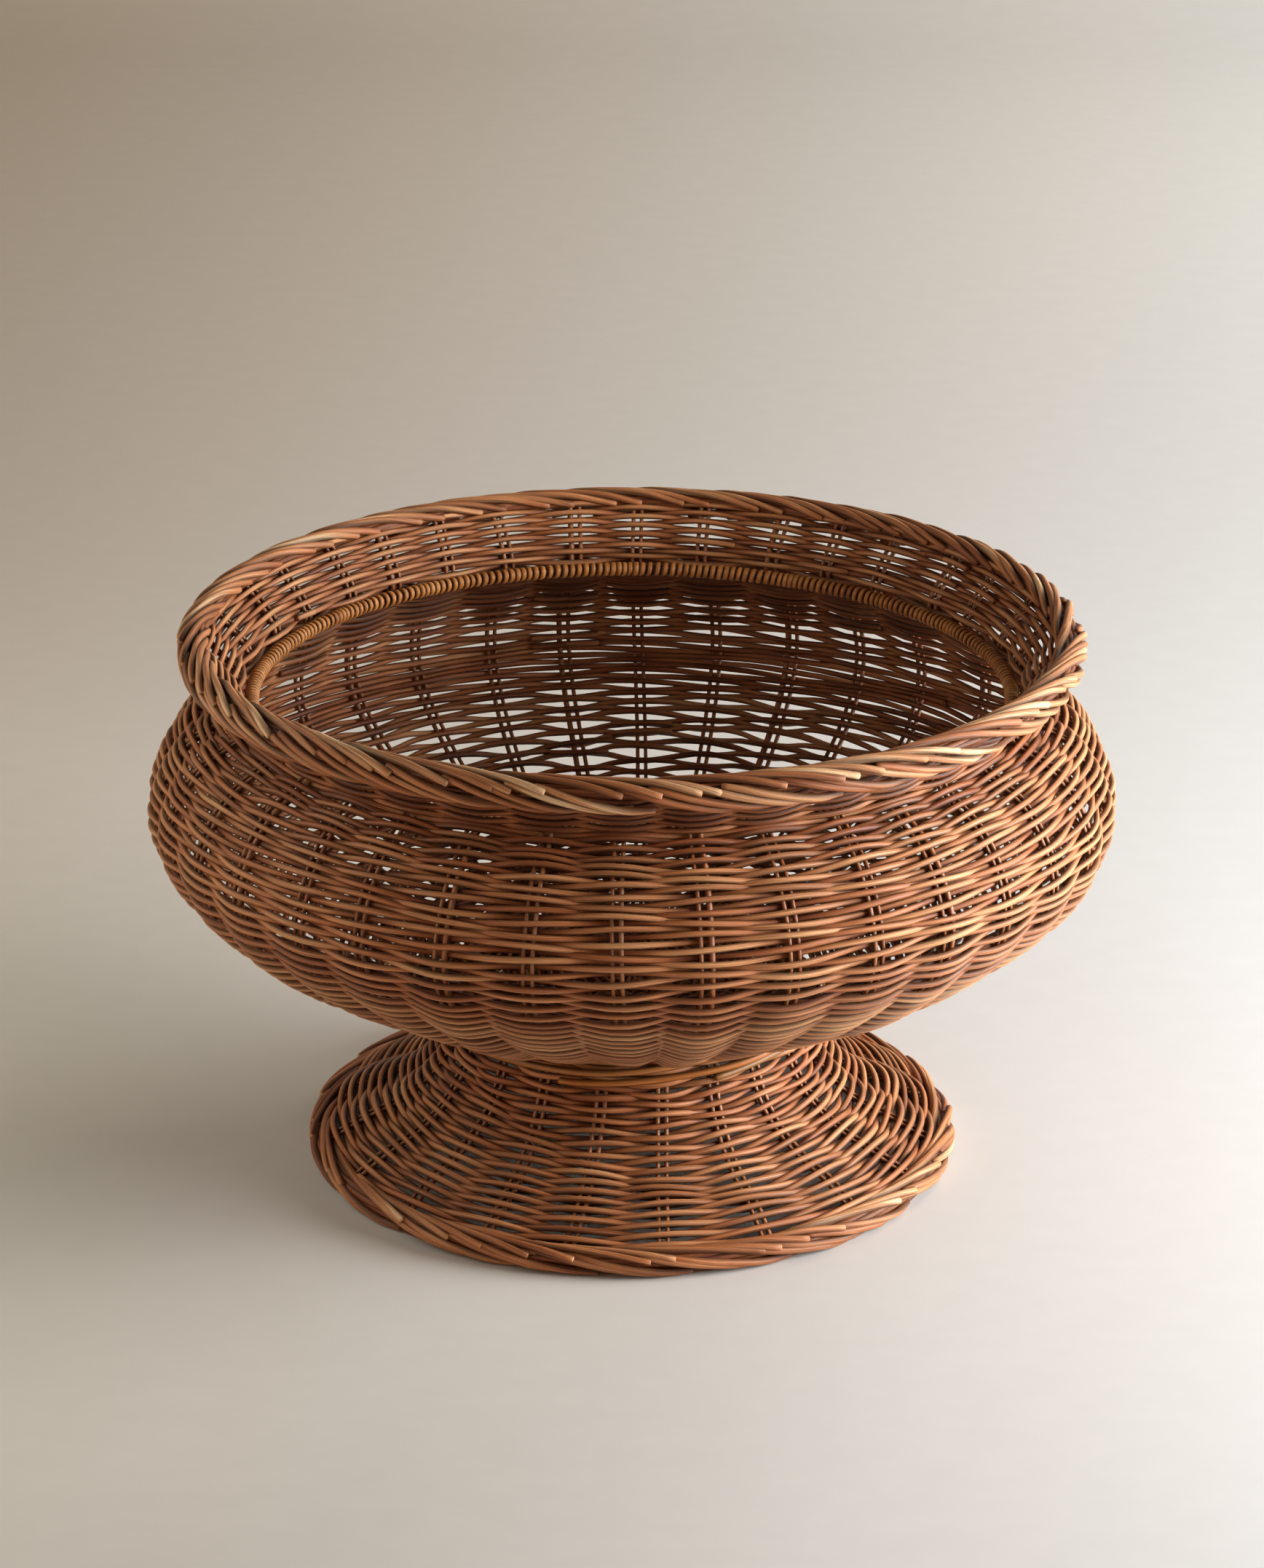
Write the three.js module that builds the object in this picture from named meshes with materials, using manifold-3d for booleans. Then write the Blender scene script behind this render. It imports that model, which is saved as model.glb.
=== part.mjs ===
// Footed centrepiece basket, woven in round rattan.
// Millimetres, +Z up, origin on the floor under the middle of the foot.
//
// Stakes rise from the base in pairs, each pair one rod bent double. At every third place one
// stake and a thicker frame rod stand in place of the pair. The bowl is woven round them, a
// wrapped hoop holds the neck, and above it the wall flares as a collar to the plaited rim
// border. The foot is a second, flared wall on stakes of its own, with a plaited border.
// A woven wall is drawn as its two layers, the strands that pass outside the stakes and those
// that pass inside, joined along one edge, with the slot between them that the stakes stand in.
// Its outer face has courses that stand out at every second stake, each course where the one
// below it lies back, so that a few broad courses stand for the many rows of strands.
import * as THREE from 'three';
import { mergeVertices } from 'three/addons/utils/BufferGeometryUtils.js';
import Module from 'manifold-3d';

// Strands
const STAKE_DIAMETER = 2;
const STAKE_SPACING = 3.8; // between the two legs of a bent stake, middle to middle
const FRAME_ROD_DIAMETER = 2.8;
const FRAME_ROD_SPACING = 4.4; // between a frame rod and its stake, middle to middle
const WEAVER_DIAMETER = 2.6;
const LYING_BACK_SHARE = 0.6; // of a weaver, where a course passes inside a stake
const CLEARANCE = 0.3; // between pieces that touch

// Bowl
const BELLY_RADIUS = 215; // to the outside of the weave
const BELLY_RISE = 85; // from the seat to the belly
const SEAT_OVERHANG = 6.5; // of the wall's start on the base, beyond the top of the foot
const SEAT_HEIGHT = 81;
const FLANK_RADIUS_SHARE = 0.73; // of the way out from the seat to the belly
const FLANK_HEIGHT_SHARE = 0.48; // of the way up from the seat to the belly
const SHOULDER_RADIUS_SHARE = 0.61; // of the way out from the neck to the belly
const SHOULDER_HEIGHT_SHARE = 0.68; // of the way up from the belly to the neck
const BASE_CROWN = 3; // rise of the base in its middle

// Neck and rim
const NECK_INSET = 47.3; // from the belly in to the middle of the neck hoop
const NECK_RISE = 51; // from the belly to the hoop
const HOOP_DIAMETER = 4.2;
const CANE_WIDTH = 3;
const CANE_THICKNESS = 0.7;
const CANE_LOOPS = 24;
const COLLAR_FLARE = 24.3; // from the hoop out to the middle of the rim border
const COLLAR_RISE = 25.5; // from the hoop to the rim border
const RIM_BORDER_DIAMETER = 17;

// Foot
const FOOT_FLARE = 69.5; // from the wall at the top out to the outside of the foot border
const FOOT_BORDER_DIAMETER = 13;
const FOOT_TOP_RADIUS = 77.5; // to the middle of the wall
const FOOT_FLANK_RADIUS_SHARE = 0.44; // of the way out from the top to the border
const FOOT_FLANK_HEIGHT_SHARE = 0.33; // of the way up from the border to the top
const FOOT_THROAT_RADIUS_SHARE = 0.12;
const FOOT_THROAT_HEIGHT_SHARE = 0.56;
const FOOT_WAIST_HEIGHT = 12; // straight stretch at the top of the foot
const FOOT_CROWN_HEIGHT = 3; // ring that joins the tops of the foot stakes
const WAIST_RING_DIAMETER = 6;

// Counts
const STAKE_PAIRS = 36;
const PAIRS_PER_FRAME_ROD = 3;
const FIRST_FRAME_ROD = 1; // the place it stands at, of those three
const FOOT_STAKE_PAIRS = 20;
const STEPS_PER_SPAN = 2; // facets of a wall between two points of its curve
const BOWL_COURSES = 20; // broad courses that stand for the rows of weaving, about
const COLLAR_COURSES = 4;
const FOOT_COURSES = 14;
const STAKE_SIDES = 4;
const ROD_SIDES = 5;
const HOOP_SIDES = 6;
const BORDER_SIDES = 8;
const CANE_STEPS_PER_SEGMENT = 5; // the hoop has a segment from stake to stake
const BEND_STEPS = 2;

// What follows from them
const SEAT_RADIUS = FOOT_TOP_RADIUS + SEAT_OVERHANG;
const FOOT_RADIUS = FOOT_TOP_RADIUS + FOOT_FLARE;
const BELLY_HEIGHT = SEAT_HEIGHT + BELLY_RISE;
const HOOP_RADIUS = BELLY_RADIUS - NECK_INSET;
const HOOP_HEIGHT = BELLY_HEIGHT + NECK_RISE;
const RIM_RADIUS = HOOP_RADIUS + COLLAR_FLARE;
const RIM_HEIGHT = HOOP_HEIGHT + COLLAR_RISE;
const BOWL_SEGMENTS = STAKE_PAIRS; // the weave runs straight from stake to stake
const FOOT_SEGMENTS = 2 * FOOT_STAKE_PAIRS;
const SLOT_HALF = FRAME_ROD_DIAMETER / 2 + CLEARANCE;
const WALL_HALF = SLOT_HALF + WEAVER_DIAMETER;
const CANE_STEPS = BOWL_SEGMENTS * CANE_STEPS_PER_SEGMENT;
const CANE_TURN = (CANE_LOOPS * 2 * Math.PI) / CANE_STEPS; // about the hoop, in one step
const CANE_SEAT = (HOOP_DIAMETER / 2 + CLEARANCE) / Math.cos(CANE_TURN / 2);
const WRAPPED_RADIUS = Math.hypot(CANE_SEAT + CANE_THICKNESS, CANE_WIDTH / 2);
const NECK_RADIUS = HOOP_RADIUS + WRAPPED_RADIUS + CLEARANCE + FRAME_ROD_DIAMETER / 2;
const BORDER_FLAT_SHARE = Math.cos(Math.PI / BORDER_SIDES); // to a flat of a border's section
const UP = new THREE.Vector3(0, 0, 1);

const between = THREE.MathUtils.lerp;

// Materials
const finish = (color, roughness) => () => (
  new THREE.MeshStandardMaterial({ color, roughness, metalness: 0 })
);
const wovenRattan = finish(0x9a5c34, 0.62);
const rattanRod = finish(0x8a5a30, 0.6);
const plaitedRattan = finish(0xa8703f, 0.58);
const wrappingCane = finish(0xb07a42, 0.5);

const basket = new THREE.Group();

function addPiece(name, geometry, material) {
  const piece = new THREE.Mesh(geometry, material());
  piece.name = name;
  basket.add(piece);
}

const numbered = (name, index) => `${name}_${String(index + 1).padStart(2, '0')}`;

const outAt = (azimuth) => new THREE.Vector3(Math.cos(azimuth), Math.sin(azimuth), 0);

// Middle line of a wall through points of radius and height
function wallCurve(points) {
  return new THREE.CatmullRomCurve3(points.map(([radius, height]) => (
    new THREE.Vector3(radius, 0, height)
  )));
}

// Places on a wall's curve where its facets meet, between two of the curve's points
function stations(curve, fromPoint, toPoint) {
  const steps = (toPoint - fromPoint) * STEPS_PER_SPAN;
  const lastPoint = curve.points.length - 1;
  return Array.from({ length: steps + 1 }, (_, i) => (
    (fromPoint + i / STEPS_PER_SPAN) / lastPoint
  ));
}

// A point out of the wall from its middle line, as radius and height
function beside(curve, place, distance) {
  const point = curve.getPoint(place);
  const along = curve.getTangent(place);
  return new THREE.Vector2(point.x + along.z * distance, point.z - along.x * distance);
}

// A line with its two ends cut back by given lengths
function cutBack(line, atStart, atEnd) {
  const trimmed = line.map((point) => point.clone());
  const first = line[1].clone().sub(line[0]).setLength(atStart);
  const last = line.at(-2).clone().sub(line.at(-1)).setLength(atEnd);
  trimmed[0].add(first);
  trimmed.at(-1).add(last);
  return trimmed;
}

function layerLine(curve, places, distance) {
  return places.map((place) => beside(curve, place, distance));
}

// Turns an outline, anticlockwise in radius and height, about the basket's axis
function turned(outline, segments) {
  return new THREE.LatheGeometry(outline, segments).rotateX(Math.PI / 2);
}

// How many courses each stretch of a line takes, of about so many in all, evenly spaced
function coursesOf(line, count) {
  const lengths = line.slice(1).map((point, i) => point.distanceTo(line[i]));
  const whole = lengths.reduce((sum, length) => sum + length);
  return lengths.map((length) => Math.max(1, Math.round((length / whole) * count)));
}

// A line with each of its stretches divided into so many parts
function divided(line, parts) {
  return [...parts.flatMap((count, i) => Array.from({ length: count }, (_, part) => (
    line[i].clone().lerp(line[i + 1], part / count)
  ))), line.at(-1)];
}

// A wall turned about the basket's axis. Its outer face is given as its crests and its hollows,
// point for point; the crests show at every second stake, from course to course by turns.
function wovenWall(crests, hollows, others, stakes, segments) {
  const segmentsPerStake = segments / stakes;
  const last = crests.length - 1;
  const isCrest = (side, i) => (
    i <= 0 || i >= last
    || (side % segmentsPerStake === 0 && (side / segmentsPerStake + i) % 2 === 0)
  );
  const count = crests.length + others.length;
  const positions = Array.from({ length: segments }, (_, side) => {
    const out = outAt((side * 2 * Math.PI) / segments);
    const face = crests.map((crest, i) => (isCrest(side, i) ? crest : hollows[i]));
    return [...face, ...others].flatMap(({ x, y }) => (
      out.clone().multiplyScalar(x).addScaledVector(UP, y).toArray()
    ));
  }).flat();
  const index = [];
  for (let side = 0; side < segments; side += 1) {
    for (let i = 0; i < count; i += 1) {
      const [here, beyond] = [side, (side + 1) % segments].map((at) => at * count);
      const next = (i + 1) % count;
      const [a, b, c, d] = [here + i, beyond + i, beyond + next, here + next];
      // The cut across each facet leaves its crest alone in one of the halves
      if (isCrest(side, i) || isCrest(side + 1, next)) {
        index.push(a, b, d, b, c, d);
      } else {
        index.push(a, b, c, a, c, d);
      }
    }
  }
  const geometry = new THREE.BufferGeometry();
  geometry.setAttribute('position', new THREE.Float32BufferAttribute(positions, 3));
  geometry.setIndex(index);
  return geometry;
}

// The outer face of a wall as crests and hollows
function wovenFace(line, atStart, atEnd, courses) {
  const faces = [WALL_HALF, SLOT_HALF].map((distance) => line(distance, atStart, atEnd));
  const parts = coursesOf(faces[0], courses);
  const [crests, under] = faces.map((face) => divided(face, parts));
  return [crests, crests.map((crest, i) => crest.clone().lerp(under[i], LYING_BACK_SHARE))];
}

// A woven wall with the slot between its layers open above, each layer cut back there
function wallOpenAbove(curve, places, outerCut, innerCut, courses, stakes, segments) {
  const line = (distance, atStart, atEnd) => (
    cutBack(layerLine(curve, places, distance), atStart, atEnd)
  );
  return wovenWall(...wovenFace(line, 0, outerCut, courses), [
    ...line(SLOT_HALF, WEAVER_DIAMETER, outerCut).reverse(),
    ...line(-SLOT_HALF, WEAVER_DIAMETER, innerCut),
    ...line(-WALL_HALF, 0, innerCut).reverse(),
  ], stakes, segments);
}

// The same with the slot open below
function wallOpenBelow(curve, places, outerCut, innerCut, courses, stakes, segments) {
  const line = (distance, atStart, atEnd) => (
    cutBack(layerLine(curve, places, distance), atStart, atEnd)
  );
  return wovenWall(...wovenFace(line, outerCut, 0, courses), [
    ...line(-WALL_HALF, innerCut, 0).reverse(),
    ...line(-SLOT_HALF, innerCut, WEAVER_DIAMETER),
    ...line(SLOT_HALF, outerCut, WEAVER_DIAMETER).reverse(),
  ], stakes, segments);
}

// A ring of regular section, one flat of which faces the given way
function ring(radius, height, diameter, sides, facing, segments) {
  const outline = Array.from({ length: sides + 1 }, (_, i) => {
    const angle = facing + ((i + 1 / 2) * 2 * Math.PI) / sides;
    return new THREE.Vector2(Math.cos(angle), Math.sin(angle))
      .multiplyScalar(diameter / 2)
      .add(new THREE.Vector2(radius, height));
  });
  return turned(outline, segments);
}

// Path of a rod along a line of radius and height, moved sideways along the wall's facet
class RodPath extends THREE.Curve {
  constructor(line, azimuth, sideways, segments) {
    super();
    this.line = line;
    this.out = outAt(azimuth);
    this.side = new THREE.Vector3().crossVectors(UP, this.out);
    this.sideways = sideways;
    this.drop = Math.abs(sideways) * Math.tan(Math.PI / segments);
  }

  // Equal steps from point to point of the line, so that rod and slot bend at the same places
  getUtoTmapping(u) {
    return u;
  }

  getPoint(t) {
    const last = this.line.length - 1;
    const index = THREE.MathUtils.clamp(Math.floor(t * last), 0, last - 1);
    const point = this.line[index].clone().lerp(this.line[index + 1], t * last - index);
    return new THREE.Vector3()
      .addScaledVector(this.out, point.x - this.drop)
      .addScaledVector(this.side, this.sideways)
      .addScaledVector(UP, point.y);
  }
}

// Path of a rod bent double: down one leg, round the bend at the base and up the other leg
class BentStakePath extends THREE.Curve {
  constructor(line, azimuth, segments) {
    super();
    this.legs = [-STAKE_SPACING / 2, STAKE_SPACING / 2].map((sideways) => (
      new RodPath(line, azimuth, sideways, segments)
    ));
    this.legSteps = line.length - 1;
    this.steps = 2 * this.legSteps + BEND_STEPS;
  }

  getUtoTmapping(u) {
    return u;
  }

  getPoint(t) {
    const step = t * this.steps;
    if (step <= this.legSteps) {
      return this.legs[0].getPoint(1 - step / this.legSteps);
    }
    if (step >= this.legSteps + BEND_STEPS) {
      return this.legs[1].getPoint((step - this.legSteps - BEND_STEPS) / this.legSteps);
    }
    const turn = (Math.PI * (step - this.legSteps)) / BEND_STEPS;
    const [from, to] = this.legs.map((leg) => leg.getPoint(0));
    const down = this.legs[0].getTangent(0).negate();
    return new THREE.Vector3()
      .addVectors(from, to)
      .divideScalar(2)
      .addScaledVector(from.clone().sub(to), Math.cos(turn) / 2)
      .addScaledVector(down, (Math.sin(turn) * STAKE_SPACING) / 2);
  }
}

function rod(path, steps, diameter, sides) {
  const section = new THREE.Shape(Array.from({ length: sides }, (_, i) => {
    const angle = (i * 2 * Math.PI) / sides;
    return new THREE.Vector2(Math.cos(angle), Math.sin(angle)).multiplyScalar(diameter / 2);
  }));
  return new THREE.ExtrudeGeometry(section, { extrudePath: path, steps, bevelEnabled: false });
}

// A closed strip of flat section, from its middle, its thickness way and its width way at each
// step; the width way is the direction of the strip crossed with the thickness way
function strip(steps, thickness, width) {
  const corners = [[1, -1], [1, 1], [-1, 1], [-1, -1]];
  const positions = steps.flatMap(({ middle, thick, wide }) => corners.flatMap(([a, b]) => (
    middle.clone()
      .addScaledVector(thick, (a * thickness) / 2)
      .addScaledVector(wide, (b * width) / 2)
      .toArray()
  )));
  const sides = corners.length;
  const end = (steps.length - 1) * sides;
  const index = [2, 1, 0, 3, 2, 0, end, end + 1, end + 2, end, end + 2, end + 3];
  for (let first = 0; first < end; first += sides) {
    for (let side = 0; side < sides; side += 1) {
      const a = first + side;
      const b = first + ((side + 1) % sides);
      // Both broad faces are halved the same way, so that the strip keeps its thickness
      if (side === 0) {
        index.push(a, b, b + sides, a, b + sides, a + sides);
      } else {
        index.push(a, b, a + sides, b, b + sides, a + sides);
      }
    }
  }
  const geometry = new THREE.BufferGeometry();
  geometry.setAttribute('position', new THREE.Float32BufferAttribute(positions, 3));
  geometry.setIndex(index);
  return geometry;
}

// Joins
const wasm = await Module();
wasm.setup();

function toSolid(geometry) {
  const bare = geometry.clone();
  bare.deleteAttribute('normal');
  bare.deleteAttribute('uv');
  const merged = mergeVertices(bare);
  return new wasm.Manifold(new wasm.Mesh({
    numProp: 3,
    vertProperties: new Float32Array(merged.attributes.position.array),
    triVerts: new Uint32Array(merged.index.array),
  }));
}

function joined(geometries) {
  const mesh = geometries.map(toSolid).reduce((sum, solid) => sum.add(solid)).getMesh();
  const geometry = new THREE.BufferGeometry();
  geometry.setAttribute('position', new THREE.BufferAttribute(mesh.vertProperties, 3));
  geometry.setIndex(new THREE.BufferAttribute(mesh.triVerts, 1));
  return geometry;
}

// Wall of the bowl and collar, from the base to the rim border
const bellyMiddle = BELLY_RADIUS - WALL_HALF;
const rimRise = Math.atan2(RIM_HEIGHT - HOOP_HEIGHT, RIM_RADIUS - NECK_RADIUS);
const rimReach = (RIM_BORDER_DIAMETER / 2) * BORDER_FLAT_SHARE + CLEARANCE;
const bowlCurve = wallCurve([
  [SEAT_RADIUS, SEAT_HEIGHT],
  [
    between(SEAT_RADIUS, bellyMiddle, FLANK_RADIUS_SHARE),
    between(SEAT_HEIGHT, BELLY_HEIGHT, FLANK_HEIGHT_SHARE),
  ],
  [bellyMiddle, BELLY_HEIGHT],
  [
    between(NECK_RADIUS, bellyMiddle, SHOULDER_RADIUS_SHARE),
    between(BELLY_HEIGHT, HOOP_HEIGHT, SHOULDER_HEIGHT_SHARE),
  ],
  [NECK_RADIUS, HOOP_HEIGHT],
  [RIM_RADIUS - rimReach * Math.cos(rimRise), RIM_HEIGHT - rimReach * Math.sin(rimRise)],
]);
const rimPoint = bowlCurve.points.length - 1;
const neckPoint = rimPoint - 1;
const hoopCut = WRAPPED_RADIUS + CLEARANCE; // the inner layers end clear of the hoop

addPiece('bowl_weave', wallOpenAbove(
  bowlCurve,
  stations(bowlCurve, 0, neckPoint),
  CLEARANCE / 2,
  hoopCut,
  BOWL_COURSES,
  STAKE_PAIRS,
  BOWL_SEGMENTS,
), wovenRattan);

addPiece('collar_weave', wallOpenBelow(
  bowlCurve,
  stations(bowlCurve, neckPoint, rimPoint),
  CLEARANCE / 2,
  hoopCut,
  COLLAR_COURSES,
  STAKE_PAIRS,
  BOWL_SEGMENTS,
), wovenRattan);

// Base, a shallow dished disc inside the start of the wall
const [seatBottom, seatTop] = [WALL_HALF, -WALL_HALF].map((distance) => (
  cutBack(layerLine(bowlCurve, stations(bowlCurve, 0, 1), distance), -CLEARANCE, 0)[0]
));
addPiece('base_disc', new THREE.LatheGeometry([
  new THREE.Vector2(0, seatBottom.y + BASE_CROWN),
  seatBottom,
  seatTop,
  new THREE.Vector2(0, seatTop.y + BASE_CROWN),
], BOWL_SEGMENTS).rotateX(Math.PI / 2), wovenRattan);

// Stakes and frame rods, standing in the slot of the wall
const slotLine = cutBack(
  layerLine(bowlCurve, stations(bowlCurve, 0, rimPoint), 0),
  WEAVER_DIAMETER + CLEARANCE,
  WEAVER_DIAMETER + CLEARANCE,
);
const bentLine = cutBack(slotLine, (STAKE_SPACING + STAKE_DIAMETER) / 2, 0);
for (let place = 0; place < STAKE_PAIRS; place += 1) {
  const azimuth = (place * 2 * Math.PI) / STAKE_PAIRS;
  const beyond = place - FIRST_FRAME_ROD;
  if (beyond % PAIRS_PER_FRAME_ROD === 0) {
    const [stake, frameRod] = [-FRAME_ROD_SPACING / 2, FRAME_ROD_SPACING / 2].map((sideways) => (
      new RodPath(slotLine, azimuth, sideways, BOWL_SEGMENTS)
    ));
    const steps = slotLine.length - 1;
    const stakeGeometry = rod(stake, steps, STAKE_DIAMETER, STAKE_SIDES);
    const rodGeometry = rod(frameRod, steps, FRAME_ROD_DIAMETER, ROD_SIDES);
    addPiece(numbered('bowl_stake', place), stakeGeometry, rattanRod);
    addPiece(numbered('frame_rod', beyond / PAIRS_PER_FRAME_ROD), rodGeometry, rattanRod);
  } else {
    const path = new BentStakePath(bentLine, azimuth, BOWL_SEGMENTS);
    const geometry = rod(path, path.steps, STAKE_DIAMETER, STAKE_SIDES);
    addPiece(numbered('bowl_stake', place), geometry, rattanRod);
  }
}

// Neck hoop and the flat cane wound round it
addPiece('neck_hoop', ring(
  HOOP_RADIUS,
  HOOP_HEIGHT,
  HOOP_DIAMETER,
  HOOP_SIDES,
  0,
  BOWL_SEGMENTS,
), rattanRod);

// A point on the middle line of the hoop, which runs straight from corner to corner
function hoopMiddle(step) {
  const segment = Math.floor(step / CANE_STEPS_PER_SEGMENT);
  const [from, to] = [segment, segment + 1].map((corner) => (
    outAt((corner * 2 * Math.PI) / BOWL_SEGMENTS).multiplyScalar(HOOP_RADIUS)
  ));
  return from.lerp(to, (step % CANE_STEPS_PER_SEGMENT) / CANE_STEPS_PER_SEGMENT)
    .addScaledVector(UP, HOOP_HEIGHT);
}

function caneMiddle(step) {
  const middle = hoopMiddle(step);
  const turn = step * CANE_TURN;
  const out = new THREE.Vector3(middle.x, middle.y, 0).normalize();
  const thick = out.multiplyScalar(Math.cos(turn)).addScaledVector(UP, Math.sin(turn));
  return { middle: middle.addScaledVector(thick, CANE_SEAT + CANE_THICKNESS / 2), thick };
}

// One step is left out, so that the cane's two ends stay apart
const caneSteps = Array.from({ length: CANE_STEPS - 1 }, (_, step) => {
  const { middle, thick } = caneMiddle(step);
  const before = caneMiddle(Math.max(step - 1, 0)).middle;
  const along = caneMiddle(step + 1).middle.sub(before);
  return { middle, thick, wide: along.cross(thick).normalize() };
});
addPiece('neck_wrap', strip(caneSteps, CANE_THICKNESS, CANE_WIDTH), wrappingCane);

// Least gap of the cane to itself, between points at least half a loop apart along it
const edges = caneSteps.flatMap(({ middle, wide }, step) => [-1, 0, 1].map((side) => (
  { step, point: middle.clone().addScaledVector(wide, (side * CANE_WIDTH) / 2) }
)));
const halfLoop = Math.PI / CANE_TURN;
const leastGap = edges.reduce((least, { step, point }) => edges
  .filter((other) => other.step >= step + halfLoop)
  .reduce((gap, other) => Math.min(gap, point.distanceTo(other.point) - CANE_THICKNESS), least),
Infinity);
console.log(`neck_wrap, least gap to itself: ${leastGap.toFixed(2)} mm`);

// Rim border
addPiece('rim_border', ring(
  RIM_RADIUS,
  RIM_HEIGHT,
  RIM_BORDER_DIAMETER,
  BORDER_SIDES,
  rimRise + Math.PI,
  BOWL_SEGMENTS,
), plaitedRattan);

// Foot, from the border on the floor up to the underside of the base
const footBorderHeight = (FOOT_BORDER_DIAMETER / 2) * BORDER_FLAT_SHARE;
const footBorderRadius = FOOT_RADIUS - footBorderHeight;
const footTop = seatBottom.y - CLEARANCE;
const footFlankRadius = between(FOOT_TOP_RADIUS, footBorderRadius, FOOT_FLANK_RADIUS_SHARE);
const footFlankHeight = between(footBorderHeight, footTop, FOOT_FLANK_HEIGHT_SHARE);
const footRise = Math.atan2(
  footFlankHeight - footBorderHeight,
  footBorderRadius - footFlankRadius,
);
const footReach = FOOT_BORDER_DIAMETER / 2 + CLEARANCE;
const footCurve = wallCurve([
  [
    footBorderRadius - footReach * Math.cos(footRise),
    footBorderHeight + footReach * Math.sin(footRise),
  ],
  [footFlankRadius, footFlankHeight],
  [
    between(FOOT_TOP_RADIUS, footBorderRadius, FOOT_THROAT_RADIUS_SHARE),
    between(footBorderHeight, footTop, FOOT_THROAT_HEIGHT_SHARE),
  ],
  [FOOT_TOP_RADIUS, footTop - FOOT_WAIST_HEIGHT],
  [FOOT_TOP_RADIUS, footTop],
]);
const footPlaces = stations(footCurve, 0, footCurve.points.length - 1);
addPiece('foot_weave', wallOpenAbove(
  footCurve,
  footPlaces,
  0,
  0,
  FOOT_COURSES,
  FOOT_STAKE_PAIRS,
  FOOT_SEGMENTS,
), wovenRattan);

addPiece('foot_border', ring(
  footBorderRadius,
  footBorderHeight,
  FOOT_BORDER_DIAMETER,
  BORDER_SIDES,
  -Math.PI / 2,
  FOOT_SEGMENTS,
), plaitedRattan);

// Foot stakes, each pair one flat leg in the slot of the foot wall, joined by a ring at the top
const crownHalf = SLOT_HALF - CLEARANCE;
const footStakeLine = cutBack(
  layerLine(footCurve, footPlaces, 0),
  WEAVER_DIAMETER + CLEARANCE,
  FOOT_CROWN_HEIGHT / 2,
);
const crownRing = turned([
  [crownHalf, -FOOT_CROWN_HEIGHT],
  [crownHalf, 0],
  [-crownHalf, 0],
  [-crownHalf, -FOOT_CROWN_HEIGHT],
  [crownHalf, -FOOT_CROWN_HEIGHT],
].map(([out, up]) => new THREE.Vector2(FOOT_TOP_RADIUS + out, footTop + up)), FOOT_SEGMENTS);
const footLegs = Array.from({ length: FOOT_STAKE_PAIRS }, (_, pair) => {
  const path = new RodPath(
    footStakeLine,
    (pair * 2 * Math.PI) / FOOT_STAKE_PAIRS,
    0,
    FOOT_SEGMENTS,
  );
  const last = footStakeLine.length - 1;
  return strip(footStakeLine.map((_point, i) => {
    const along = path.getTangent(i / last);
    return {
      middle: path.getPoint(i / last),
      thick: path.side.clone().cross(along).normalize(),
      wide: path.side,
    };
  }), STAKE_DIAMETER, STAKE_SPACING + STAKE_DIAMETER);
});
addPiece('foot_stakes', joined([crownRing, ...footLegs]), rattanRod);

// Waist ring, in the corner between the foot and the underside of the bowl
const footFace = layerLine(footCurve, footPlaces, WALL_HALF).at(-1).x;
const waistRadius = footFace + CLEARANCE + WAIST_RING_DIAMETER / 2;
const waistHeight = seatBottom.y - CLEARANCE - WAIST_RING_DIAMETER / 2;
addPiece('waist_ring', ring(
  waistRadius,
  waistHeight,
  WAIST_RING_DIAMETER,
  HOOP_SIDES,
  Math.PI,
  FOOT_SEGMENTS,
), rattanRod);

export default basket;
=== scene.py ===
import math

import bpy
import numpy as np
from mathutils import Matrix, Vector


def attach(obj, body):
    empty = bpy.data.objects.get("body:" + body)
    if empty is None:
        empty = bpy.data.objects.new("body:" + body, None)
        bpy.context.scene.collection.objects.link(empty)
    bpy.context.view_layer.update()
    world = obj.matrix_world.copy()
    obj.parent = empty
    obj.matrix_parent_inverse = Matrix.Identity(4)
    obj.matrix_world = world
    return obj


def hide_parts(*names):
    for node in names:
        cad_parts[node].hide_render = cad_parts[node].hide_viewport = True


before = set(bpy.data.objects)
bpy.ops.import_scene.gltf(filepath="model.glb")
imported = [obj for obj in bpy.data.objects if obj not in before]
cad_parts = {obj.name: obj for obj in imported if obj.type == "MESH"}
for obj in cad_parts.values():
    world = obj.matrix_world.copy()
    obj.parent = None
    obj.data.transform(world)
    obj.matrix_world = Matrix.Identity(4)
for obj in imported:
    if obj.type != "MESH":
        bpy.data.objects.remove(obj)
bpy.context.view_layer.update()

MM = 0.001  # a millimetre in metres
TAU = 2 * math.pi
FRONT = -math.pi / 2  # azimuth that faces the camera
UP = np.array([0, 0, 1.0])
rng = np.random.default_rng(20)

# Thickness of the strands, and distances from middle to middle
WEAVER = 2.85
COLLAR_WEAVER = 2.7
FOOT_WEAVER = 3.05
STAKE = 2.0
STAKE_GAP = 3.8  # between the two stakes of a pair
FRAME_ROD = 2.8
FRAME_GAP = 4.4  # between a frame rod and its stake
BORDER_STRAND = 3.3

# Pitch of the weave: a place along the wall's middle line, and from one row to the next there
BOWL_PITCH = [(0, 2.5), (45, 3.0), (75, 3.7), (96, 4.1), (120, 3.3), (142, 2.6), (182, 2.6), (200, 2.3)]
COLLAR_PITCH = [(0, 2.3)]
FOOT_PITCH = [(0, 2.55)]

# Bowl and collar
STAKES = 36
STAKES_TURN = math.radians(-1.5)
FRAMED_EVERY = 3  # stakes, of which one has a frame rod
FRAME_RODS = STAKES // FRAMED_EVERY
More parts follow.
